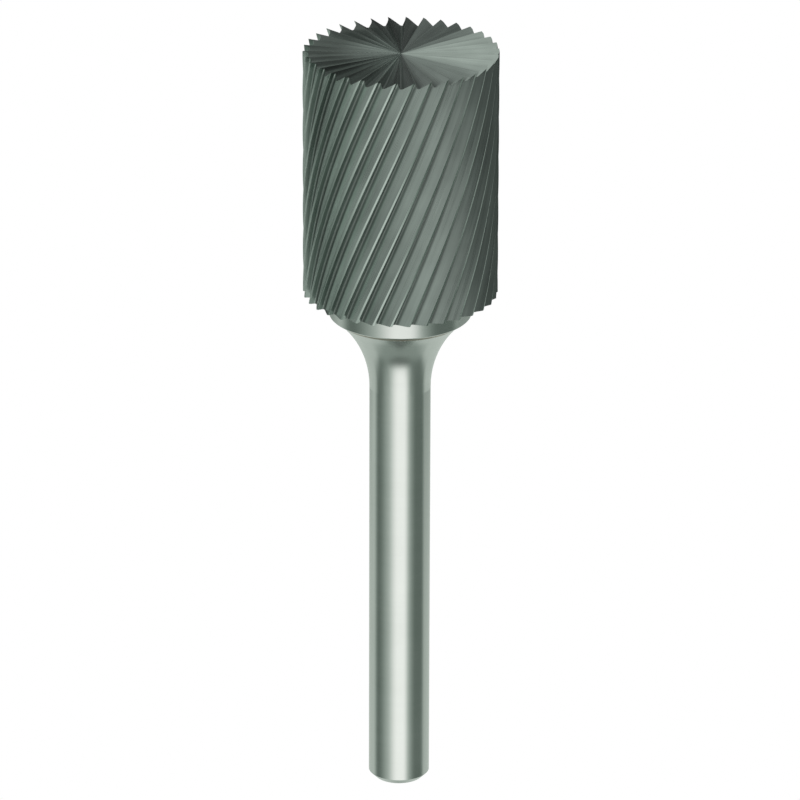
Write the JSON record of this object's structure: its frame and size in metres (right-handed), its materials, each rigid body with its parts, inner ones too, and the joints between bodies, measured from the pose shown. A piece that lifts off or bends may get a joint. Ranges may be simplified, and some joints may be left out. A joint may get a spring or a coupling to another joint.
{
  "type": "carbide burr",
  "caption": "Cylindrical rotary burr: a fluted tungsten carbide head with end teeth, brazed to a plain round steel shank for a die grinder collet.",
  "frame": {"origin": "centre of the plane of the end-teeth tips, on which the burr stands", "axes": "+Z along the tool's axis, from the cutting end towards the free end of the shank; +X and +Y at right angles to it"},
  "size_m": [0.019, 0.019, 0.0769],
  "materials": {
    "carbide": "ground tungsten carbide, dark grey and semi-gloss on the teeth, bright on the collar",
    "braze": "silver braze, satin, slightly yellow",
    "steel": "ground and polished tool steel, bright"
  },
  "bodies": {
    "root": {"carbide_head": "carbide", "braze_joint": "braze", "shank": "steel"}
  },
  "joints": []
}
